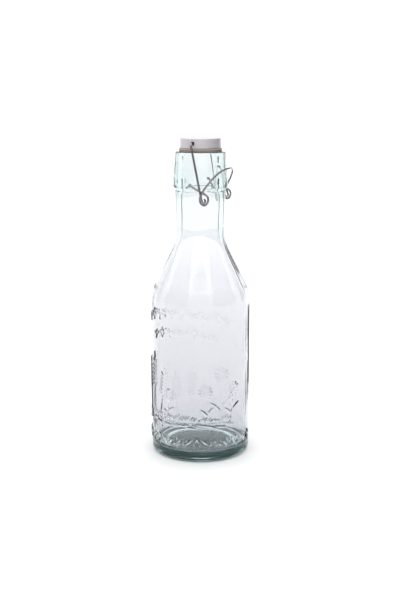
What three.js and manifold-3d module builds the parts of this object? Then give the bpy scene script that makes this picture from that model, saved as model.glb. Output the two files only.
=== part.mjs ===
// Swing top glass bottle, about one litre. Millimetres, +Z up.
// The origin is the centre of the base on the table. The embossed side of the bottle faces -Y,
// the two pivots of the lever lie on the Y axis, and the lever's finger loop is on the +X side.
import * as THREE from 'three';
import { mergeVertices } from 'three/addons/utils/BufferGeometryUtils.js';
import Module from 'manifold-3d';

const wasm = await Module();
wasm.setup();

// ---------- driving dimensions ----------
const roundSegments = 48;
const bodyRadius = 44.2;
const baseRingRadius = 39.6;
const puntRadius = 33;
const puntHeight = 3;
const heelRadius = bodyRadius - baseRingRadius;
const shoulderStart = 137;
const neckRadius = 21.5;
const neckStart = 201;
const ringBottom = 240.2;
const ringRadius = 24.05;
const rimHeight = 272;
const rimOuterRadius = 22.1;
const rimOuterCorner = 1.2;
const rimInnerCorner = 0.8;
const boreRadius = 15.1;
const neckInnerRadius = 16.4;
const neckInnerStart = 208;
const bodyInnerRadius = 41.4;
const floorHeight = 8;
const floorCorner = 5;

// The shoulder is a straight cone: radius and height of its two ends, outside and inside.
const shoulderLow = [41, 153.5];
const shoulderHigh = [26.6, 182.6];
const innerShoulderLow = [38, 153.5];
const innerShoulderHigh = [23, 183.5];

const wireRadius = 0.92;
const wireSides = 8;
const pivotHeight = 244.9;
const pivotHoleRadius = wireRadius + 0.33;
const pivotHoleBottom = 20.6;
const pivotWireEnd = 21.1;

const eyeForward = 14.6;
const eyeDrop = 12.2;
const eyeHalfWidth = 3.65;
const eyeHalfHeight = 4.6;
const eyeInnerSide = 25.9;
const eyeOuterSide = 28.1;
const hookDrop = 2.6;

const crossWireHeight = 279.6;
const headRadius = 18;
const headBottom = 275.1;
const headTop = 284;
const headEdge = 0.8;
const crossHoleRadius = wireRadius + 0.38;
const crossHoleMouth = 1.9;
const crossHoleMouthDepth = 1.4;
const bossRadius = 11.5;
const bossLipRadius = 13;
const gasketBottom = rimHeight + 0.55;
const gasketTop = headBottom - 0.3;
const gasketRadius = 18.8;
const gasketLipRadius = 19.3;
const gasketClearance = 0.3;

// ---------- shapes ----------
const point = (r, z) => new THREE.Vector2(r, z);

// Points of an arc in the profile plane, from one angle to another in degrees.
function arc(centreR, centreZ, radius, from, to, steps) {
  const points = [];
  for (let i = 0; i <= steps; i += 1) {
    const angle = THREE.MathUtils.degToRad(from + ((to - from) * i) / steps);
    points.push(point(centreR + radius * Math.cos(angle), centreZ + radius * Math.sin(angle)));
  }
  return points;
}

// Points of a quadratic curve, without its first one.
function bend(from, control, to, steps) {
  const curve = new THREE.QuadraticBezierCurve(point(...from), point(...control), point(...to));
  return curve.getPoints(steps).slice(1);
}

function turned(profile) {
  const geometry = new THREE.LatheGeometry(profile, roundSegments);
  geometry.rotateX(Math.PI / 2);
  return geometry;
}

function solid(geometry) {
  const bare = geometry.clone();
  bare.deleteAttribute('normal');
  bare.deleteAttribute('uv');
  const merged = mergeVertices(bare, 1e-4);
  return new wasm.Manifold(new wasm.Mesh({
    numProp: 3,
    vertProperties: new Float32Array(merged.attributes.position.array),
    triVerts: new Uint32Array(merged.index.array),
  }));
}

function geometryOf(manifold) {
  const mesh = manifold.getMesh();
  const geometry = new THREE.BufferGeometry();
  geometry.setAttribute('position', new THREE.BufferAttribute(mesh.vertProperties, 3));
  geometry.setIndex(new THREE.BufferAttribute(mesh.triVerts, 1));
  geometry.computeVertexNormals();
  return geometry;
}

// A cylinder along Y between two places.
function rodAlongY(radius, from, to, z) {
  const geometry = new THREE.CylinderGeometry(radius, radius, to - from, 16);
  geometry.translate(0, (from + to) / 2, z);
  return geometry;
}

function bottleGeometry() {
  const outside = [
    point(0, puntHeight),
    point(puntRadius - 4, puntHeight - 0.6),
    point(puntRadius, 0),
    point(baseRingRadius, 0),
    ...arc(baseRingRadius, heelRadius, heelRadius, -75, 0, 5),
    point(bodyRadius, shoulderStart),
    ...bend([bodyRadius, shoulderStart], [bodyRadius, 148], shoulderLow, 5),
    point(...shoulderHigh),
    ...bend(shoulderHigh, [neckRadius, 192.6], [neckRadius, neckStart], 5),
    point(22.4, ringBottom - 1.9),
    ...bend([22.4, ringBottom - 1.9], [22.6, ringBottom], [ringRadius - 0.6, ringBottom + 0.3], 3),
    point(ringRadius, ringBottom + 1.2),
    point(ringRadius, ringBottom + 6),
    point(22.7, 262),
    ...arc(rimOuterRadius - rimOuterCorner, rimHeight - rimOuterCorner, rimOuterCorner, 0, 90, 4),
  ];
  const inside = [
    ...arc(boreRadius + rimInnerCorner, rimHeight - rimInnerCorner, rimInnerCorner, 90, 180, 3),
    point(boreRadius, 240),
    ...bend([boreRadius, 240], [neckInnerRadius, 236], [neckInnerRadius, 228], 3),
    point(neckInnerRadius, neckInnerStart),
    ...bend([neckInnerRadius, neckInnerStart], [neckInnerRadius, 196.7], innerShoulderHigh, 4),
    point(...innerShoulderLow),
    ...bend(innerShoulderLow, [bodyInnerRadius, 146.5], [bodyInnerRadius, 136], 4),
    ...arc(bodyInnerRadius - floorCorner, floorHeight + floorCorner, floorCorner, 0, -90, 4),
    point(0, floorHeight + 1),
  ];
  let body = solid(turned([...outside, ...inside]));
  for (const side of [-1, 1]) {
    const ends = [side * pivotHoleBottom, side * (ringRadius + 2)].sort((a, b) => a - b);
    body = body.subtract(solid(rodAlongY(pivotHoleRadius, ...ends, pivotHeight)));
  }
  return geometryOf(body);
}

function stopperGeometry() {
  const lipTop = gasketBottom + 1.3;
  const head = turned([
    point(0, gasketBottom + 0.3),
    point(bossLipRadius - 0.4, gasketBottom + 0.3),
    point(bossLipRadius, gasketBottom + 0.6),
    point(bossRadius, lipTop),
    point(bossRadius, headBottom),
    point(headRadius - headEdge, headBottom),
    ...arc(headRadius - headEdge, headBottom + headEdge, headEdge, -60, 0, 2),
    ...arc(headRadius - headEdge, headTop - headEdge, headEdge, 0, 60, 2),
    point(headRadius - headEdge - 0.6, headTop - 0.05),
    point(headRadius - 3, headTop),
    point(0, headTop),
  ]);
  let body = solid(head);
  const through = rodAlongY(crossHoleRadius, -headRadius - 2, headRadius + 2, crossWireHeight);
  body = body.subtract(solid(through));
  for (const side of [-1, 1]) {
    const ends = [side * (headRadius - crossHoleMouthDepth), side * (headRadius + 2)];
    ends.sort((a, b) => a - b);
    body = body.subtract(solid(rodAlongY(crossHoleMouth, ...ends, crossWireHeight)));
  }
  return geometryOf(body);
}

function gasketGeometry() {
  const inner = bossRadius + gasketClearance;
  const lipInner = bossLipRadius + gasketClearance;
  const waist = gasketRadius - 0.4;
  return turned([
    point(inner, gasketBottom + 1.6),
    point(lipInner, gasketBottom + 0.7),
    point(lipInner, gasketBottom),
    point(gasketRadius - 0.6, gasketBottom),
    point(gasketRadius, gasketBottom + 0.35),
    point(gasketRadius, gasketBottom + 1),
    point(waist, gasketBottom + 1.25),
    point(gasketLipRadius, gasketBottom + 1.45),
    point(gasketLipRadius, gasketBottom + 1.85),
    point(waist, gasketTop),
    point(inner, gasketTop),
    point(inner, gasketBottom + 1.6),
  ]);
}

// ---------- bent wires ----------
function wireGeometry(points, steps) {
  const path = new THREE.CatmullRomCurve3(points, false, 'centripetal');
  const section = new THREE.Shape();
  for (let i = 0; i < wireSides; i += 1) {
    const angle = (2 * Math.PI * i) / wireSides;
    const x = wireRadius * Math.cos(angle);
    const y = wireRadius * Math.sin(angle);
    if (i === 0) section.moveTo(x, y);
    else section.lineTo(x, y);
  }
  section.closePath();
  return new THREE.ExtrudeGeometry(section, { steps, bevelEnabled: false, extrudePath: path });
}

// One half runs on the -Y side up to the middle, and the other half mirrors it.
function bothSides(half) {
  const mirrored = half.slice(0, -1).reverse().map((p) => new THREE.Vector3(p.x, -p.y, p.z));
  return [...half, ...mirrored];
}

function leverPoints() {
  const at = (forward, side, up) => new THREE.Vector3(forward, -side, pivotHeight + up);
  const half = [
    at(0, pivotWireEnd, 0),
    at(0, 23.5, 0),
    at(0.1, 24.9, -0.05),
    at(1, 25.8, -0.5),
    at(2.6, eyeInnerSide, -1.35),
    at(9, eyeInnerSide, -4.7),
  ];
  const entryAngle = 66;
  const turn = 276;
  const eyeSteps = 16;
  for (let i = 0; i <= eyeSteps; i += 1) {
    const angle = THREE.MathUtils.degToRad(entryAngle - (turn * i) / eyeSteps);
    const side = eyeInnerSide + ((eyeOuterSide - eyeInnerSide) * i) / eyeSteps;
    const forward = eyeForward + eyeHalfWidth * Math.cos(angle);
    half.push(at(forward, side, -eyeDrop + eyeHalfHeight * Math.sin(angle)));
  }
  half.push(
    at(13, 28.05, -6.6),
    at(16.2, 26.9, -1.2),
    at(19.2, 24.4, 3.6),
    at(21.9, 20.6, 7.6),
    at(24.3, 14.6, 11),
    at(25.9, 7.4, 12.7),
    at(26.5, 0, 13.1),
  );
  return bothSides(half);
}

const hook = new THREE.Vector2(eyeForward, pivotHeight - eyeDrop - hookDrop);
const bailLength = Math.hypot(hook.x, crossWireHeight - hook.y);
const bailForward = -hook.x / bailLength;
const bailUp = (crossWireHeight - hook.y) / bailLength;

function bailPoints() {
  const at = (along, side) => new THREE.Vector3(
    hook.x + bailForward * along, -side, hook.y + bailUp * along);
  const half = [
    at(3.4, 23.5),
    at(1.5, 23.55),
    at(0.4, 23.9),
    at(0, 24.8),
    at(0, 26.8),
    at(0, 29.1),
    at(0.5, 30.1),
    at(1.8, 30.4),
    at(6, 30.2),
    at(bailLength * 0.45, 27.3),
    at(bailLength * 0.8, 23.9),
    at(bailLength - 3, 22.6),
    at(bailLength - 0.9, 21.9),
    at(bailLength - 0.1, 20.6),
    at(bailLength, 19),
    at(bailLength, 12),
    at(bailLength, 0),
  ];
  return bothSides(half);
}

// ---------- assembly ----------
const glass = { color: 0xd5e8e4, roughness: 0.05, metalness: 0 };
const stopperWhite = { color: 0xdcd6d3, roughness: 0.35, metalness: 0 };
const rubber = { color: 0xcbbfae, roughness: 0.6, metalness: 0 };
const steelWire = { color: 0x9a9496, roughness: 0.25, metalness: 1 };

function piece(name, geometry, finish) {
  const mesh = new THREE.Mesh(geometry, new THREE.MeshStandardMaterial(finish));
  mesh.name = name;
  return mesh;
}

const bottle = new THREE.Group();
bottle.add(
  piece('glass_bottle', bottleGeometry(), glass),
  piece('stopper_head', stopperGeometry(), stopperWhite),
  piece('gasket', gasketGeometry(), rubber),
  piece('lever_wire', wireGeometry(leverPoints(), 100), steelWire),
  piece('bail_wire', wireGeometry(bailPoints(), 84), steelWire),
);

export default bottle;
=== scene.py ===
from math import cos, hypot, pi, radians, sin, tan

import bmesh
import bpy
import numpy as np
from mathutils import Matrix, Vector


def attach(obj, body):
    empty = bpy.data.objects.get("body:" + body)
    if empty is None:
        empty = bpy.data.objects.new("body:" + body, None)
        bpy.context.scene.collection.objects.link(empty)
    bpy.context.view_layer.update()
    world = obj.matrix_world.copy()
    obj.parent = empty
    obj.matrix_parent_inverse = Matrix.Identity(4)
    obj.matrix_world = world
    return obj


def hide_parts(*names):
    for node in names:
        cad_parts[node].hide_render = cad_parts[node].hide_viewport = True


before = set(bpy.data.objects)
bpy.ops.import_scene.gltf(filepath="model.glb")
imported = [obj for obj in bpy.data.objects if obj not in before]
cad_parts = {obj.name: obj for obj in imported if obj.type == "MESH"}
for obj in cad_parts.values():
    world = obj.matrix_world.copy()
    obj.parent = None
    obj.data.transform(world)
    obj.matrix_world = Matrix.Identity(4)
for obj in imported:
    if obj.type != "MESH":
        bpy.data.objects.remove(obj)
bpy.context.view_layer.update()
scene = bpy.context.scene
scene.view_settings.view_transform = "Standard"  # keeps the pale background truly pale
print("frame loaded:", ", ".join(sorted(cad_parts)))

mm = 0.001

cameraSetup = {
    "azimuth": 22.8,      # degrees round from the embossed side towards the finger loop
    "pitch": 12.3,        # degrees down
    "distance": 955.2,    # mm along the floor
    "height": 346.5,      # mm above the floor
    "lens": 64.93,
}


def placeCamera(setup):
    data = bpy.data.cameras.new("viewCamera")
    data.lens = setup["lens"]
    data.sensor_width = 36
    camera = bpy.data.objects.new("viewCamera", data)
    scene.collection.objects.link(camera)
    turn = radians(setup["azimuth"])
    away = setup["distance"] * mm
    camera.location = (sin(turn) * away, -cos(turn) * away, setup["height"] * mm)
    camera.rotation_euler = (radians(90 - setup["pitch"]), 0, turn)
    scene.camera = camera


placeCamera(cameraSetup)


class Shade:
    def __init__(self, tree, socket):
        self.tree = tree
        self.socket = socket

    def maths(self, operation, first, second=0.0):
        node = self.tree.nodes.new("ShaderNodeMath")
        node.operation = operation
        for socket, value in zip(node.inputs, (first, second)):
            if isinstance(value, Shade):
                self.tree.links.new(value.socket, socket)
            else:
                socket.default_value = value
        return Shade(self.tree, node.outputs[0])

    def __add__(self, other):
        return self.maths("ADD", self, other)

    def __radd__(self, other):
        return self.maths("ADD", other, self)

    def __sub__(self, other):
        return self.maths("SUBTRACT", self, other)

    def __rsub__(self, other):
        return self.maths("SUBTRACT", other, self)

    def __mul__(self, other):
        return self.maths("MULTIPLY", self, other)

    def __rmul__(self, other):
        return self.maths("MULTIPLY", other, self)

    def __pow__(self, other):
        return self.maths("POWER", self, other)

    def below(self, limit):
        return self.maths("LESS_THAN", self, limit)


class Nodes:
    # one way to add any node to a tree
    def __init__(self, tree):
        self.tree = tree

    def node(self, kind, settings, inputs, output=0):
        node = self.tree.nodes.new("ShaderNode" + kind)
        for setting, value in settings.items():
            if setting == "stops":
                self.fillRamp(node.color_ramp, value)
            else:
                setattr(node, setting, value)
        for socketName, value in inputs.items():
            self.feed(node.inputs[socketName], value)
        return Shade(self.tree, node.outputs[output])

    def fillRamp(self, ramp, stops):
        while len(ramp.elements) < len(stops):
            ramp.elements.new(0.5)
        for element, (place, colour) in zip(ramp.elements, stops):
            element.position = place
            element.color = (*colour, 1)

    def feed(self, socket, value):
        if isinstance(value, Shade):
            self.tree.links.new(value.socket, socket)
        else:
            socket.default_value = value


class Finish(Nodes):
    # one material around a Principled shader
    def __init__(self, name, fixed):
        self.material = bpy.data.materials.new(name)
        self.material.use_nodes = True
        super().__init__(self.material.node_tree)
        self.shader = self.tree.nodes["Principled BSDF"]
        self.output = self.tree.nodes["Material Output"]
        for socketName, value in fixed.items():
            self.shader.inputs[socketName].default_value = value

    def set(self, **values):
        for socketName, value in values.items():
            self.feed(self.shader.inputs[socketName.replace("_", " ")], value)

    def along(self, axis):
        # place in metres, on a piece whose origin is the frame's
        return self.node("SeparateXYZ", {}, {"Vector": self.node("TexCoord", {}, {}, 3)}, axis)

    def upward(self):
        return self.along(2)

    def outward(self):
        return (self.along(0) ** 2.0 + self.along(1) ** 2.0) ** 0.5

    def place(self, stretch=(1, 1, 1)):
        coordinates = self.node("TexCoord", {}, {}, 3)
        return self.node("Mapping", {}, {"Vector": coordinates, "Scale": stretch})

    def noise(self, scale, detail=2.0, stretch=(1, 1, 1), roughness=0.5):
        inputs = {"Vector": self.place(stretch), "Scale": scale}
        return self.node("TexNoise", {}, {**inputs, "Detail": detail, "Roughness": roughness})

    def mix(self, factor, first, second):
        inputs = {"Factor": factor, 6: first, 7: second}
        return self.node("Mix", {"data_type": "RGBA"}, inputs, 2)

    def ramp(self, factor, stops):
        return self.node("ValToRGB", {"stops": stops}, {"Fac": factor})

    def bump(self, height, strength, distance):
        inputs = {"Height": height, "Strength": strength, "Distance": distance}
        return self.node("Bump", {}, inputs)


def arc(centreR, centreZ, radius, start, end, steps):
    turns = [radians(start + (end - start) * i / steps) for i in range(steps + 1)]
    return [(centreR + radius * cos(t), centreZ + radius * sin(t)) for t in turns]


def bend(start, control, end, steps):
    # a quadratic curve without its first point
    points = []
    for i in range(1, steps + 1):
        t = i / steps
        points.append(tuple(
            a * (1 - t) ** 2 + 2 * b * t * (1 - t) + c * t * t for a, b, c in zip(start, control, end)))
    return points


def straight(start, end, step):
    # evenly spaced points without the first one
    count = max(1, round(hypot(end[0] - start[0], end[1] - start[1]) / step))
    return [tuple(a + (b - a) * i / count for a, b in zip(start, end)) for i in range(1, count + 1)]


def newPiece(name, vertices, faces, finish):
    mesh = bpy.data.meshes.new(name)
    mesh.from_pydata(vertices, [], faces)
    mesh.validate()
    mesh.update()
    piece = bpy.data.objects.new(name, mesh)
    scene.collection.objects.link(piece)
    work = bmesh.new()
    work.from_mesh(mesh)
    bmesh.ops.recalc_face_normals(work, faces=work.faces)
    work.to_mesh(mesh)
    work.free()
    mesh.polygons.foreach_set("use_smooth", [True] * len(mesh.polygons))
    if finish:
        mesh.materials.append(finish)
    return piece


def turnedMesh(profile, angles, closed=False):
    # profile in mm, spun round Z; an end on the axis becomes one shared vertex
    columns = len(angles)
    vertices, rows = [], []
    for r, z in profile:
        if r < 1e-6:
            rows.append([len(vertices)] * columns)
            vertices.append((0, 0, z * mm))
            continue
        rows.append(list(range(len(vertices), len(vertices) + columns)))
        vertices.extend((r * mm * sin(a), -r * mm * cos(a), z * mm) for a in angles)
    return vertices, joinRows(rows, columns, closed)


def joinRows(rows, columns, closed=False):
    faces = []
    pairs = list(zip(rows, rows[1:])) + ([(rows[-1], rows[0])] if closed else [])
    for low, high in pairs:
        for i in range(columns):
            j = (i + 1) % columns
            corners = [low[i], low[j], high[j], high[i]]
            faces.append(tuple(dict.fromkeys(corners)))
    return faces


def evenAngles(count):
    return [2 * pi * i / count for i in range(count)]


def cutBy(piece, cutter):
    modifier = piece.modifiers.new("cut", "BOOLEAN")
    modifier.operation = "DIFFERENCE"
    modifier.solver = "EXACT"
    modifier.object = cutter
    applyModifiers(piece)
    bpy.data.objects.remove(cutter)


def applyModifiers(piece):
    graph = bpy.context.evaluated_depsgraph_get()
    made = bpy.data.meshes.new_from_object(piece.evaluated_get(graph))
    piece.modifiers.clear()
    piece.data = made


bottleGlass = {
    "tintsWithPaintedShade": [             # height in mm, and the colour that each surface lets through, with painted shade: darker low, lighter high
        (0, (0.76, 0.83, 0.83)), (6, (0.76, 0.80, 0.82)), (30, (0.785, 0.77, 0.80)),
        (90, (0.81, 0.795, 0.82)), (140, (0.855, 0.84, 0.865)), (190, (0.93, 0.925, 0.945)),
        (284, (0.945, 0.925, 0.93)),
    ],
    "undersideShadeAndDepth": (0.02, 0.12, 0.112, 1),   # painted shade in the punt's hollow and at the foot, partly the depth of colour of the thick base
    "undersideShadeShare": 0.8,
    "footShadeShare": 0.55,
    "shadedMiddle": (30.5, 4.5),              # painted shade inside this radius, below this height
    "shadedFoot": (38.8, 0.9),                # and outside this radius, below this height
    "depthColour": (0.04, 0.50, 0.48, 1),   # what is left over as light crosses the glass
    "depthDensity": 15.0,                   # per metre
    "smudgeScale": 35,
    "roughest": 0.05,
    "flowScale": 26,                        # the slow waves of blown glass
    "pressedScale": 150,
    "pressedShare": 0.08,
    "waviness": 0.16,
    "waveDepth": 0.004,
    "tall": 284,
}


def makeGlass(values):
    fixed = {"Transmission Weight": 1.0, "IOR": 1.5, "Specular IOR Level": 0.5}
    finish = Finish("paleGreenGlass", fixed)
    tall = values["tall"]
    # painted shade by height: the glass's colour is darker towards the bottom and lighter towards the top
    stops = [(height / tall, colour) for height, colour in values["tintsWithPaintedShade"]]
    share = finish.upward() * (1 / (tall * mm))
    finish.set(Base_Color=finish.ramp(share, stops))
    smudge = finish.noise(values["smudgeScale"], 3, (1, 1, 0.4))
    finish.set(Roughness=(smudge ** 2.0) * values["roughest"])
    flow = finish.noise(values["flowScale"], 2, (1, 1, 0.22))
    pressed = finish.noise(values["pressedScale"], 2) * values["pressedShare"]
    finish.set(Normal=finish.bump(flow + pressed, values["waviness"], values["waveDepth"]))
    depth = {"Color": values["depthColour"], "Density": values["depthDensity"]}
    finish.feed(finish.output.inputs["Volume"], finish.node("VolumeAbsorption", {}, depth))
    # painted shade under the base: an opaque dark teal mixed over the glass in the punt's hollow and
    # round the outer foot, partly standing for the thick base's depth of colour
    out = finish.outward()
    (middleRadius, middleTop), (edgeRadius, edgeTop) = values["shadedMiddle"], values["shadedFoot"]
    middle = out.below(middleRadius * mm) * finish.upward().below(middleTop * mm)
    edge = (1 - out.below(edgeRadius * mm)) * finish.upward().below(edgeTop * mm)
    low = (middle + edge * values["footShadeShare"]) * values["undersideShadeShare"]
    below = {"Base Color": values["undersideShadeAndDepth"], "Roughness": 0.3}
    shaders = {0: low, 1: Shade(finish.tree, finish.shader.outputs[0])}
    shaders[2] = finish.node("BsdfPrincipled", {}, below)
    finish.feed(finish.output.inputs["Surface"], finish.node("MixShader", {}, shaders))
    return finish.material


stopperGlaze = {
    "colour": (0.455, 0.43, 0.47),
    "worn": (0.40, 0.37, 0.395),
    "roughness": 0.34,
    "cloudScale": 60,
    "specks": (900.0, 0.12, 0.25),          # scale, size and share
    "speckColour": (0.36, 0.32, 0.30, 1),
    "grain": (420, 0.09, 0.0004),           # scale, strength and depth
}


def makeGlaze(values):
    finish = Finish("warmWhiteGlaze", {"IOR": 1.5, "Coat Roughness": 0.12, "Coat IOR": 1.5})
    speckScale, speckSize, speckShare = values["specks"]
    grainScale, grainStrength, grainDepth = values["grain"]
    cloud = finish.noise(values["cloudScale"], 4, (1, 1, 0.5))
    cells = {"Vector": finish.place(), "Scale": speckScale}
    speck = finish.node("TexVoronoi", {"feature": "F1"}, cells)
    dots = finish.ramp(speck, [(0.0, (1, 1, 1)), (speckSize, (0, 0, 0))])
    base = finish.mix(cloud, (*values["colour"], 1), (*values["worn"], 1))
    finish.set(Base_Color=finish.mix(dots * speckShare, base, values["speckColour"]))
    finish.set(Roughness=cloud * 0.14 + values["roughness"] - 0.07)
    finish.set(Coat_Weight=cloud * 0.3 + 0.15)
    finish.set(Normal=finish.bump(finish.noise(grainScale, 3), grainStrength, grainDepth))
    return finish.material


gasketRubber = {
    "colour": (0.315, 0.28, 0.25),
    "aged": (0.235, 0.20, 0.175),
    "blotchScale": 110,
    "grain": (1500, 0.25, 0.0002),          # scale, strength and depth
}


def makeRubber(values):
    finish = Finish("beigeRubber", {"IOR": 1.48, "Specular IOR Level": 0.35})
    grainScale, grainStrength, grainDepth = values["grain"]
    blotch = finish.noise(values["blotchScale"], 4)
    finish.set(Base_Color=finish.mix(blotch, (*values["aged"], 1), (*values["colour"], 1)))
    finish.set(Roughness=blotch * 0.2 + 0.5)
    finish.set(Normal=finish.bump(finish.noise(grainScale, 3), grainStrength, grainDepth))
    return finish.material


springWire = {
    "bright": (0.41, 0.39, 0.40),
    "dull": (0.115, 0.10, 0.105),
    "tarnishScale": 120,
    "drawScale": 1400,                      # fine lines from the drawing die
    "drawDepth": 0.0002,
}


def makeWireSteel(values):
    finish = Finish("drawnSteelWire", {"Metallic": 1.0})
    tarnish = finish.noise(values["tarnishScale"], 5, (1, 1, 0.35), 0.6)
    draw = finish.noise(values["drawScale"], 2, (1, 1, 0.06))
    finish.set(Base_Color=finish.mix(tarnish, (*values["dull"], 1), (*values["bright"], 1)))
    finish.set(Roughness=tarnish * 0.14 + draw * 0.06 + 0.06)
    finish.set(Normal=finish.bump(draw, 0.12, values["drawDepth"]))
    return finish.material


glassFinish = makeGlass(bottleGlass)
glazeFinish = makeGlaze(stopperGlaze)
rubberFinish = makeRubber(gasketRubber)
wireFinish = makeWireSteel(springWire)
print("finishes made")

bottleSize = {
    "bodyRadius": 44.2,
    "baseRing": 39.6,
    "punt": 33,
    "puntHeight": 3,
    "puntFall": [(0, 0), (12, 0.1), (24, 0.4), (32, 1)],   # radius, and how far under the middle
    "standing": 36.3,       # middle of the ring it stands on
    "fineWall": 16,         # rows are close together from here up
    "shoulderStart": 137,
    "shoulderBend": 148,
    "neckRadius": 21.5,
    "neckStart": 201,
    "neckBend": 192.6,
    "neckTop": (22.4, 1.9),             # radius, and how far under the ring
    "ringBottom": 240.2,
    "ringRadius": 24.05,
    "ringCorner": 22.6,
    "ringStraight": 8,
    "ringRows": 0.35,       # mesh spacing where the pivot holes are
    "ringTaper": (22.7, 262),
    "rimHeight": 272,
    "rimOuter": 22.1,
    "rimCorners": (1.2, 0.8),   # outside and inside
    "bore": 15.1,
    "boreHeights": (240, 236, 228),     # where it starts to widen, bends and ends
    "neckInner": 16.4,
    "neckInnerStart": 208,
    "neckInnerBend": 196.7,
    "bodyInner": 41.4,
    "bodyInnerHeights": (146.5, 136),
    "floor": 8,
    "floorCorner": 5,
    "floorRise": [(24, 0.2), (12, 0.7), (0, 1)],           # radius, and height over the floor
    "shoulderLow": (41, 153.5),         # the cone's two ends: radius and height
    "shoulderHigh": (26.6, 182.6),
    "innerShoulderLow": (38, 153.5),
    "innerShoulderHigh": (23, 183.5),
    "pivotHeight": 244.9,
    "pivotHole": 1.25,
    "pivotDepth": 3.2,
    "pivotRowsTop": 250,
    "reliefStep": 0.42,     # mesh spacing where there is relief
    "reliefReach": 97,      # degrees each side of the embossed middle
    "reliefRows": (14, 147),
    "coarseColumns": 44,
    # the inner wall's unevenness: lobes round, mm per radian of height, phase, size
    "innerWaves": [(3, 17, 0, 0.16), (5, -9, 1.3, 0.09), (2, 31, 0.4, 0.12)],
    "waveTop": (230, 40),   # it fades out over the second number below the first
    "waveFoot": (12, 8),    # and over the second number above the first
}

reliefSize = {
    "rise": 0.95,
    # height, arch, half length along the wall, spacing, motif size
    "upperBand": (128, 7.5, 42, 8.2, 10.5),
    "lowerBand": (114, 4.5, 29, 7.8, 9.5),
    "baseBand": (18, 0, 72, 9.4, 10, 1.25),     # and how bold
    "groundLine": (36, 46),
    "wheat": [      # place along the wall, height, lean, width
        (-43, 44, -6, 1.0), (-34, 52, 0, 1.0), (-24, 42, 6, 1.0), (-3, 40, -3, 0.9), (8, 46, 3, 0.9),
    ],
    "daisies": [    # place along the wall, height, lean, petal length
        (36, 44, 1, 6.2), (25, 29, -3, 4.6), (46, 30, 4, 4.6), (-14, 24, 1, 4.2),
    ],
    "tufts": 26,
    "seamRise": 0.14,
    "seamSharpness": 30,
    "seamEnds": (6, 2),     # mm above the floor, and under the rim
}


class Relief:
    # raised strokes on the unrolled wall: along is measured round the glass, up is height
    def __init__(self):
        self.strokes = []

    def stroke(self, start, end, width, rise=1.0, taper=False):
        self.strokes.append((start, end, width, rise, taper))

    def leaf(self, root, angle, length, width, rise=1.0):
        tip = (root[0] + length * cos(radians(angle)), root[1] + length * sin(radians(angle)))
        self.stroke(root, tip, width, rise, True)

    def dot(self, centre, width, rise=1.0):
        self.stroke(centre, (centre[0] + 0.01, centre[1]), width, rise)

    def lozenge(self, centre, halfWidth, halfHeight, width):
        x, z = centre
        corners = [(x - halfWidth, z), (x, z + halfHeight), (x + halfWidth, z), (x, z - halfHeight)]
        for start, end in zip(corners, corners[1:] + corners[:1]):
            self.stroke(start, end, width)

    def sprig(self, centre, height, lean):
        # one motif of the bands: a short stem with two leaves
        x, z = centre
        foot = (x - 0.12 * height * lean, z - height / 2)
        self.stroke(foot, (x, z + height * 0.3), 0.85)
        self.leaf((x, z - height * 0.1), 90 - 48 * lean, height * 0.62, 1.45)
        self.leaf((x, z - height * 0.25), 90 + 52 * lean, height * 0.55, 1.35)

    def star(self, centre, reach):
        for i in range(6):
            self.leaf(centre, 60 * i + 30, reach, 1.25)

    def band(self, height, arch, halfLength, spacing, size, boldness=1.0):
        first = len(self.strokes)
        count = int(2 * halfLength / spacing)
        for i in range(count + 1):
            along = -halfLength + 2 * halfLength * i / count
            up = height + arch * (1 - (along / halfLength) ** 2)
            kind = i % 4
            if kind == 0:
                self.sprig((along, up), size, 1)
            elif kind == 1:
                self.lozenge((along, up), size * 0.27, size * 0.46, 0.85)
            elif kind == 2:
                self.sprig((along, up), size, -1)
            else:
                self.star((along, up), size * 0.44)
        self.strokes[first:] = [
            (start, end, width * boldness, rise * boldness, taper)
            for start, end, width, rise, taper in self.strokes[first:]]

    def wheatEar(self, foot, height, lean, width=1.0):
        head = (foot[0] + lean, foot[1] + height)
        self.stroke(foot, head, 0.85 * width)
        rows = 6
        for i in range(rows):
            t = 0.52 + 0.48 * i / rows
            root = (foot[0] + lean * t, foot[1] + height * t)
            for side in (-1, 1):
                self.leaf(root, 90 - side * 36, 6.4 * width, 1.6 * width)
        self.leaf(head, 90, 8 * width, 1.5 * width)

    def daisy(self, foot, height, lean, reach):
        head = (foot[0] + lean, foot[1] + height)
        self.stroke(foot, head, 0.6)
        for i in range(11):
            angle = 360 * i / 11
            root = (head[0] + 1.8 * cos(radians(angle)), head[1] + 1.8 * sin(radians(angle)))
            self.leaf(root, angle, reach, 1.5)
        self.dot(head, 2.0)
        self.leaf((foot[0] + lean * 0.35, foot[1] + height * 0.35), 38, height * 0.34, 1.9)
        self.leaf((foot[0] + lean * 0.25, foot[1] + height * 0.25), 140, height * 0.30, 1.8)

    def tuft(self, foot, height, blades, random):
        for i in range(blades):
            angle = 90 + (i - (blades - 1) / 2) * 17 + random.uniform(-5, 5)
            root = (foot[0] + (i - blades / 2) * 0.7, foot[1])
            self.leaf(root, angle, height * random.uniform(0.7, 1), 0.85)

    def raised(self, alongs, ups):
        height = np.zeros((len(ups), len(alongs)))
        for (x0, z0), (x1, z1), width, rise, taper in self.strokes:
            left, right = np.searchsorted(alongs, (min(x0, x1) - width, max(x0, x1) + width))
            low, high = np.searchsorted(ups, (min(z0, z1) - width, max(z0, z1) + width))
            if left >= right or low >= high:
                continue
            x, z = np.meshgrid(alongs[left:right], ups[low:high])
            dx, dz = x1 - x0, z1 - z0
            t = np.clip(((x - x0) * dx + (z - z0) * dz) / max(dx * dx + dz * dz, 1e-9), 0, 1)
            away = np.hypot(x - x0 - t * dx, z - z0 - t * dz)
            reach = width * (np.sin(pi * np.clip(t, 0.04, 0.96)) ** 0.6 if taper else 1.0)
            flank = np.clip(1.25 * (1 - away / reach), 0, 1)
            shape = rise * flank * flank * (3 - 2 * flank)
            block = height[low:high, left:right]
            np.maximum(block, shape, out=block)
        return height


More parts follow.
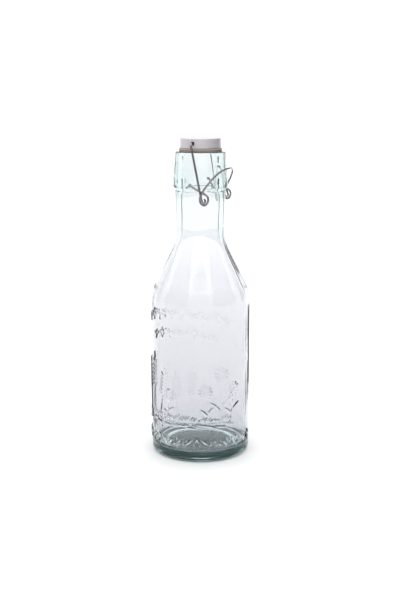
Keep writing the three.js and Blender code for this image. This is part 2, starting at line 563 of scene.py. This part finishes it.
def drawRelief(size):
    relief = Relief()
    random = np.random.default_rng(7)
    for name in ("upperBand", "lowerBand", "baseBand"):
        relief.band(*size[name])
    ground, half = size["groundLine"]
    for along, tall, lean, width in size["wheat"]:
        relief.wheatEar((along, ground), tall, lean, width)
    for along, tall, lean, petal in size["daisies"]:
        relief.daisy((along, ground), tall, lean, petal)
    for i in range(size["tufts"]):
        along = -half + 2 * half * i / (size["tufts"] - 1) + random.uniform(-1, 1)
        relief.tuft((along, ground - 1), 5 + random.uniform(0, 5), 4, random)
        soil = ground + random.uniform(-4, 0.5)
        reach = random.uniform(2.2, 4.6)
        relief.stroke((along - reach, soil), (along + reach, soil - 1), 1.2, 1.3, True)
    return relief


def outsideProfile(size):
    heel = size["bodyRadius"] - size["baseRing"]
    body, neck, ring = size["bodyRadius"], size["neckRadius"], size["ringRadius"]
    corner = size["rimCorners"][0]
    bottom, start, fine = size["ringBottom"], size["shoulderStart"], size["fineWall"]
    low, high, taper = size["shoulderLow"], size["shoulderHigh"], size["ringTaper"]
    punt = [(radius, size["puntHeight"] - fall) for radius, fall in size["puntFall"]]
    points = punt[:3] + bend(punt[2], punt[3], (size["punt"], 0), 6)
    points += [(size["standing"], 0)]
    points += arc(size["baseRing"], heel, heel, -90, 0, 9)
    points += straight((body, heel), (body, fine), 2)
    points += straight((body, fine), (body, start), size["reliefStep"])
    points += bend((body, start), (body, size["shoulderBend"]), low, 18)
    points += straight(low, high, 3)
    points += bend(high, (neck, size["neckBend"]), (neck, size["neckStart"]), 14)
    neckTop = (size["neckTop"][0], bottom - size["neckTop"][1])
    points += straight((neck, size["neckStart"]), neckTop, 3)
    points += bend(neckTop, (size["ringCorner"], bottom), (ring - 0.6, bottom + 0.3), 5)
    points += bend(points[-1], (ring, bottom + 0.4), (ring, bottom + 1.2), 3)
    points += straight(points[-1], (ring, bottom + size["ringStraight"]), size["ringRows"])
    points += straight(points[-1], taper, 2)
    points += straight(taper, (size["rimOuter"], size["rimHeight"] - corner), 2)
    points += arc(size["rimOuter"] - corner, size["rimHeight"] - corner, corner, 0, 90, 7)[1:]
    return points


def insideProfile(size):
    corner, rounding = size["rimCorners"][1], size["floorCorner"]
    bore, neck, body, floor = size["bore"], size["neckInner"], size["bodyInner"], size["floor"]
    low, high = size["innerShoulderLow"], size["innerShoulderHigh"]
    widens, bends, ends = size["boreHeights"]
    bodyBend, bodyTop = size["bodyInnerHeights"]
    points = arc(bore + corner, size["rimHeight"] - corner, corner, 90, 180, 6)
    points += straight(points[-1], (bore, widens), 3)
    points += bend((bore, widens), (neck, bends), (neck, ends), 8)
    points += straight((neck, ends), (neck, size["neckInnerStart"]), 3)
    points += bend((neck, size["neckInnerStart"]), (neck, size["neckInnerBend"]), high, 12)
    points += straight(high, low, 3)
    points += bend(low, (body, bodyBend), (body, bodyTop), 12)
    points += straight((body, bodyTop), (body, floor + rounding), 3)
    points += arc(body - rounding, floor + rounding, rounding, 0, -90, 8)[1:]
    points += [(radius, floor + rise) for radius, rise in size["floorRise"]]
    return points


def bottleAngles(size):
    reach = size["reliefReach"]
    fine = int(2 * reach * pi / 180 * size["bodyRadius"] / size["reliefStep"])
    coarse = size["coarseColumns"]
    angles = [-reach + 2 * reach * i / fine for i in range(fine + 1)]
    angles += [reach + (360 - 2 * reach) * i / coarse for i in range(1, coarse)]
    return np.radians(angles)


def shapeOutside(radius, height, signed, size, relief):
    # relief on the straight wall
    fine = np.abs(signed) <= radians(size["reliefReach"])
    order = np.flatnonzero(fine)
    alongs = signed[order] * size["bodyRadius"]
    low, high = size["reliefRows"]
    wall = np.flatnonzero((height >= low) & (height <= high))
    raised = drawRelief(relief).raised(alongs, height[wall])
    radius[np.ix_(wall, order)] += raised * relief["rise"]

    # mould seams at the two sides, from the heel to the rim
    aside = np.abs(np.abs(signed) - pi / 2) * relief["seamSharpness"]
    seam = np.exp(-2 * aside ** 2)
    above, under = relief["seamEnds"]
    rows = (height > above) & (height < size["rimHeight"] - under)
    radius += rows[:, None] * seam[None, :] * relief["seamRise"]

    # blind pivot holes at the two sides of the finish ring
    ring = np.flatnonzero((height > size["ringBottom"]) & (height < size["pivotRowsTop"]))
    aside = (np.abs(signed)[None, :] - pi / 2) * size["ringRadius"]
    away = np.hypot(aside, height[ring][:, None] - size["pivotHeight"])
    flank = size["ringRows"]
    depth = np.clip((size["pivotHole"] + flank - away) / flank, 0, 1)
    radius[ring] -= depth * size["pivotDepth"]


def shapeInside(radius, height, signed, size):
    # the inner wall follows the mould less closely, so it is a little uneven
    wave = sum(
        np.sin(lobes * signed[None, :] + height[:, None] / pitch + phase) * reach
        for lobes, pitch, phase, reach in size["innerWaves"])
    top, fade = size["waveTop"]
    foot, grow = size["waveFoot"]
    bodyOnly = np.clip((top - height) / fade, 0, 1) * np.clip((height - foot) / grow, 0, 1)
    radius += wave * bodyOnly[:, None]


def makeBottle(size, relief, finish):
    outside, inside = outsideProfile(size), insideProfile(size)
    angles = bottleAngles(size)
    columns, rows = len(angles), len(outside)
    signed = np.where(angles > pi, angles - 2 * pi, angles)
    radius = np.array([p[0] for p in outside + inside])[:, None] * np.ones(columns)
    height = np.array([p[1] for p in outside + inside])
    shapeOutside(radius[:rows], height[:rows], signed, size, relief)
    shapeInside(radius[rows:], height[rows:], signed, size)

    vertices, made = [], []
    for row, z in enumerate(height):
        if row in (0, len(height) - 1):     # the two ends on the axis
            made.append([len(vertices)] * columns)
            vertices.append((0, 0, z * mm))
            continue
        made.append(list(range(len(vertices), len(vertices) + columns)))
        x = radius[row] * mm * np.sin(angles)
        y = -radius[row] * mm * np.cos(angles)
        vertices.extend(zip(x.tolist(), y.tolist(), [z * mm] * columns))
    return newPiece("glassBottle", vertices, joinRows(made, columns), finish)


glassBottle = makeBottle(bottleSize, reliefSize, glassFinish)
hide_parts("glass_bottle")
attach(glassBottle, "bottle")
print("glass bottle made:", len(glassBottle.data.polygons), "faces")

stopperSize = {
    "radius": 18,
    "bottom": 275.1,
    "top": 284,
    "edge": 0.9,
    "crossHeight": 279.6,
    "crossHole": 1.3,
    "holeMouth": 2.0,
    "bossRadius": 11.5,
    "bossLip": 13,
    "gasketBottom": 272.55,
    "gasketFoot": 272.06,    # the soft lip, just on the rim
    "gasketRadius": 18.8,
    "gasketLip": 19.3,
    "segments": 160,
}


def stopperProfile(size):
    r, edge, low, high = size["radius"], size["edge"], size["bottom"], size["top"]
    foot, lip, boss = size["gasketBottom"], size["bossLip"], size["bossRadius"]
    points = [(0, foot + 0.3), (lip - 0.8, foot + 0.3)]
    points += arc(lip - 0.35, foot + 0.65, 0.35, -90, 30, 4)
    points += [(boss + 0.1, foot + 1.25), (boss, foot + 1.6), (boss, low - 0.3)]
    points += bend((boss, low - 0.3), (boss, low), (boss + 0.4, low), 3)
    points += straight(points[-1], (r - edge, low), 2)
    points += arc(r - edge, low + edge, edge, -80, 0, 6)
    points += straight((r, low + edge), (r, high - edge), 1)
    points += arc(r - edge, high - edge, edge, 10, 80, 6)
    points += [(r - edge - 0.3, high - 0.01), (r - 2, high), (r - 6, high)]
    points += [(6, high - 0.05), (0, high - 0.06)]
    return points


def crossHoleCutter(size):
    r, hole, mouth = size["radius"], size["crossHole"], size["holeMouth"]
    flare = bend((hole, r - 2.0), (hole + 0.1, r - 0.7), (mouth, r - 0.1), 6)
    side = [(0, r + 2), (mouth + 0.6, r + 2), (mouth + 0.6, r + 0.4)] + flare[::-1]
    side += [(hole, r - 2.0)]
    profile = [(0, -r - 2)] + [(a, -b) for a, b in side[1:]] + side[:0:-1] + [(0, r + 2)]
    cutter = newPiece("cutter", *turnedMesh(profile, evenAngles(40)), None)
    lift = Matrix.Translation((0, 0, size["crossHeight"] * mm))
    cutter.matrix_world = lift @ Matrix.Rotation(pi / 2, 4, "X")
    bpy.context.view_layer.update()
    return cutter


def makeStopper(size, finish):
    angles = evenAngles(size["segments"])
    stopper = newPiece("stopperHead", *turnedMesh(stopperProfile(size), angles), finish)
    cutBy(stopper, crossHoleCutter(size))
    return stopper


def makeGasket(size, finish):
    inner, lip, foot = size["bossRadius"] + 0.3, size["bossLip"] + 0.3, size["gasketFoot"]
    top = size["bottom"] - 0.05
    band, thin = size["gasketRadius"], size["gasketLip"]
    profile = [(inner, foot + 2.1), (lip, foot + 1.2), (lip, foot + 0.15), (lip + 0.15, foot)]
    profile += [(band - 0.9, foot)]
    profile += arc(band - 0.75, foot + 0.75, 0.75, -90, 80, 9)
    profile += arc(thin - 0.36, foot + 1.95, 0.36, -85, 85, 8)
    profile += [(band - 0.3, foot + 2.4), (band - 0.6, top), (inner + 0.2, top), (inner, top - 0.2)]
    angles = evenAngles(size["segments"])
    return newPiece("gasketRing", *turnedMesh(profile, angles, closed=True), finish)


stopperHead = makeStopper(stopperSize, glazeFinish)
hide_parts("stopper_head")
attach(stopperHead, "stopper")

gasketRing = makeGasket(stopperSize, rubberFinish)
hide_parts("gasket")
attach(gasketRing, "stopper")
print("stopper and gasket made")

wireSize = {
    "radius": 0.92,
    "sides": 20,
    "spacing": 0.55,       # mm between rings of the tube
    "cut": [(0.0, 0.72), (0.12, 0.92), (0.3, 1)],   # rounding of a cut end: how far in, share of radius
    "pivotHeight": 244.9,
    "pivotEnd": 21.1,
    "eye": (14.6, -12.2),  # forward and up from the pivot
    "eyeHalf": (3.65, 4.6),
    "eyeSides": (25.9, 28.1),
    "hookDrop": 2.6,
    "crossHeight": 279.6,
}


def leverHalf(size):
    near, far = size["eyeSides"]
    half = [
        (0, size["pivotEnd"], 0), (0, 23.5, 0), (0.1, 24.9, -0.05), (1, 25.8, -0.5), (2.6, near, -1.35),
        (9, near, -4.7),
    ]
    steps = 16
    for i in range(steps + 1):
        angle = radians(66 - 276 * i / steps)
        forward = size["eye"][0] + size["eyeHalf"][0] * cos(angle)
        up = size["eye"][1] + size["eyeHalf"][1] * sin(angle)
        half.append((forward, near + (far - near) * i / steps, up))
    half += [
        (13, 28.05, -6.6), (16.2, 26.9, -1.2), (19.2, 24.4, 3.6), (21.9, 20.6, 7.6), (24.3, 14.6, 11),
        (25.9, 7.4, 12.7), (26.5, 0, 13.1),
    ]
    return [Vector((x, -side, size["pivotHeight"] + up)) for x, side, up in half]


def bailHalf(size):
    hook = Vector((size["eye"][0], 0, size["pivotHeight"] + size["eye"][1] - size["hookDrop"]))
    rise = Vector((0, 0, size["crossHeight"])) - hook
    length = rise.length
    rise.normalize()
    half = [
        (3.4, 23.5), (1.5, 23.55), (0.4, 23.9), (0, 24.8), (0, 26.8), (0, 29.1), (0.5, 30.1), (1.8, 30.4),
        (6, 30.2), (length * 0.45, 27.3), (length * 0.8, 23.9), (length - 3, 22.6), (length - 0.9, 21.9),
        (length - 0.1, 20.6), (length, 19), (length, 12), (length, 0),
    ]
    return [hook + rise * along + Vector((0, -side, 0)) for along, side in half]


def bothSides(half):
    return half + [Vector((p.x, -p.y, p.z)) for p in reversed(half[:-1])]


def smoothPath(points, spacing):
    # a centripetal curve through the points
    ends = [points[0] * 2 - points[1]] + points + [points[-1] * 2 - points[-2]]
    path = [points[0]]
    for a, b, c, d in zip(ends, ends[1:], ends[2:], ends[3:]):
        knots = [0.0]
        for start, end in ((a, b), (b, c), (c, d)):
            knots.append(knots[-1] + max((end - start).length, 1e-6) ** 0.5)
        k0, k1, k2, k3 = knots
        count = max(2, round((c - b).length / spacing))
        for i in range(1, count + 1):
            t = k1 + (k2 - k1) * i / count
            ab = a.lerp(b, (t - k0) / (k1 - k0))
            bc = b.lerp(c, (t - k1) / (k2 - k1))
            cd = c.lerp(d, (t - k2) / (k3 - k2))
            abc = ab.lerp(bc, (t - k0) / (k2 - k0))
            bcd = bc.lerp(cd, (t - k1) / (k3 - k1))
            path.append(abc.lerp(bcd, (t - k1) / (k2 - k1)))
    return path


def makeWire(name, points, size, finish):
    path = smoothPath(points, size["spacing"])
    sides, radius = size["sides"], size["radius"]
    ahead = (path[1] - path[0]).normalized()
    across = ahead.orthogonal().normalized()
    rings = []
    for i, centre in enumerate(path):
        heading = (path[min(i + 1, len(path) - 1)] - path[max(i - 1, 0)]).normalized()
        across = ahead.rotation_difference(heading) @ across
        ahead = heading
        rings.append((centre, ahead.copy(), across.copy(), radius))
    # rounded cut ends
    centre, heading, side, _ = rings[0]
    start = [(centre + heading * inset, heading, side, radius * share) for inset, share in size["cut"]]
    centre, heading, side, _ = rings[-1]
    end = [(centre - heading * inset, heading, side, radius * share) for inset, share in size["cut"]]
    rings = start + rings[1:-1] + end[::-1]

    vertices, rows = [], []
    for centre, heading, side, reach in rings:
        upward = heading.cross(side)
        rows.append(list(range(len(vertices), len(vertices) + sides)))
        for j in range(sides):
            turn = 2 * pi * j / sides
            vertices.append((centre + (side * cos(turn) + upward * sin(turn)) * reach) * mm)
    faces = joinRows(rows, sides)
    for row, tip in ((rows[0], rings[0][0]), (rows[-1], rings[-1][0])):
        vertices.append(tip * mm)
        faces += [(row[j], row[(j + 1) % sides], len(vertices) - 1) for j in range(sides)]
    return newPiece(name, vertices, faces, finish)


leverWire = makeWire("leverWire", bothSides(leverHalf(wireSize)), wireSize, wireFinish)
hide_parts("lever_wire")
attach(leverWire, "lever")

bailWire = makeWire("bailWire", bothSides(bailHalf(wireSize)), wireSize, wireFinish)
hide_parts("bail_wire")
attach(bailWire, "bail")
print("wires made")

studio = {
    "horizon": 1.13,
    "zenith": 2.1,
    "skyRamp": (0.18, 0.75),    # where the sky starts and stops getting brighter
    "floor": (0.69, 0.69, 0.695, 1),
    "floorHalf": 20,
    "floorDrop": 0.0002,
    "edgeCards": [          # angle round, distance, half angle, top, shade: they darken the glass edges
        (-118, 1.5, 5, 1.3, 0.1), (118, 1.5, 5, 1.3, 0.3), (-160, 0.22, 17, 0.09, 0.12),
        (166, 0.22, 9, 0.09, 0.5),
    ],
    "oneWall": 2.5,         # light that crossed one wall has passed two surfaces
    "sideFlag": (-80, 0.062, 0.28, 0.09, 0.06, 0.04),   # angle, distance, middle, width, height, shade
    "frontCards": [(-60, 1.9, 0.12), (0, 1.3, 0.95), (60, 1.9, 0.12)],   # angle, width, shade
    "frontPlace": (1.6, 0.5, 2.2),                      # distance, middle and height of those
}


def card(name, centre, width, height, facing, brightness, wallLimit=None):
    # an upright card that only the gloss and the glass see; wallLimit hides it from light that
    # crossed more surfaces, so that it doesn't stand as a block behind the bottle
    mesh = bpy.data.meshes.new(name)
    half, tall = width / 2, height / 2
    corners = [(-half, 0, -tall), (half, 0, -tall), (half, 0, tall), (-half, 0, tall)]
    mesh.from_pydata(corners, [], [(0, 1, 2, 3)])
    made = bpy.data.objects.new(name, mesh)
    scene.collection.objects.link(made)
    made.location = centre
    made.rotation_euler = (0, 0, facing)
    shade = bpy.data.materials.new(name)
    shade.use_nodes = True
    nodes = Nodes(shade.node_tree)
    glow = nodes.node("Emission", {}, {"Strength": brightness})
    if wallLimit:
        oneWall = nodes.node("LightPath", {}, {}, "Transmission Depth").below(wallLimit)
        clear = nodes.node("BsdfTransparent", {}, {})
        glow = nodes.node("MixShader", {}, {0: oneWall, 1: clear, 2: glow})
    nodes.feed(shade.node_tree.nodes["Material Output"].inputs["Surface"], glow)
    mesh.materials.append(shade)
    made.visible_camera = False
    made.visible_diffuse = False
    made.visible_shadow = False
    return made


def around(angle, distance, height):
    # angle in degrees clockwise from the camera's side, seen from above
    turn = radians(cameraSetup["azimuth"] - angle)
    return Vector((sin(turn) * distance, -cos(turn) * distance, height)), turn


def makeWorld(values):
    world = bpy.data.worlds.new("studioWorld")
    scene.world = world
    world.use_nodes = True
    nodes = Nodes(world.node_tree)
    up = nodes.node("SeparateXYZ", {}, {"Vector": nodes.node("TexCoord", {}, {}, 0)}, 2)
    start, stop = values["skyRamp"]
    share = nodes.node("ValToRGB", {"stops": [(start, (0, 0, 0)), (stop, (1, 1, 1))]}, {"Fac": up})
    background = world.node_tree.nodes["Background"]
    background.inputs["Color"].default_value = (1, 1, 1, 1)
    brightness = share * (values["zenith"] - values["horizon"]) + values["horizon"]
    nodes.feed(background.inputs["Strength"], brightness)


def makeStudio(values):
    makeWorld(values)
    half = values["floorHalf"]
    floorMesh = bpy.data.meshes.new("studioFloor")
    corners = [(-half, -half, 0), (half, -half, 0), (half, half, 0), (-half, half, 0)]
    floorMesh.from_pydata(corners, [], [(0, 1, 2, 3)])
    floor = bpy.data.objects.new("studioFloor", floorMesh)
    floor.location.z = -values["floorDrop"]
    scene.collection.objects.link(floor)
    floorFinish = Finish("studioFloor", {"Roughness": 0.6, "Base Color": values["floor"]})
    floorMesh.materials.append(floorFinish.material)

    for angle, away, halfAngle, top, shade in values["edgeCards"]:
        centre, turn = around(angle, away, top / 2)
        width = 2 * away * tan(radians(halfAngle))
        card("edgeCard", centre, width, top, turn, shade, values["oneWall"])

    # a small dark flag close to the right of the stopper
    angle, away, middle, width, height, shade = values["sideFlag"]
    centre, turn = around(angle, away, middle)
    flag = card("sideFlag", centre, width, height, turn, shade)
    flag.visible_diffuse = True
    flag.visible_transmission = False

    # the dim room on the camera's side, with a light part in its middle
    away, middle, height = values["frontPlace"]
    for angle, width, shade in values["frontCards"]:
        centre, turn = around(angle, away, middle)
        room = card("frontRoom", centre, width, height, turn, shade)
        room.visible_transmission = False


makeStudio(studio)
print("studio made")

print("all made")
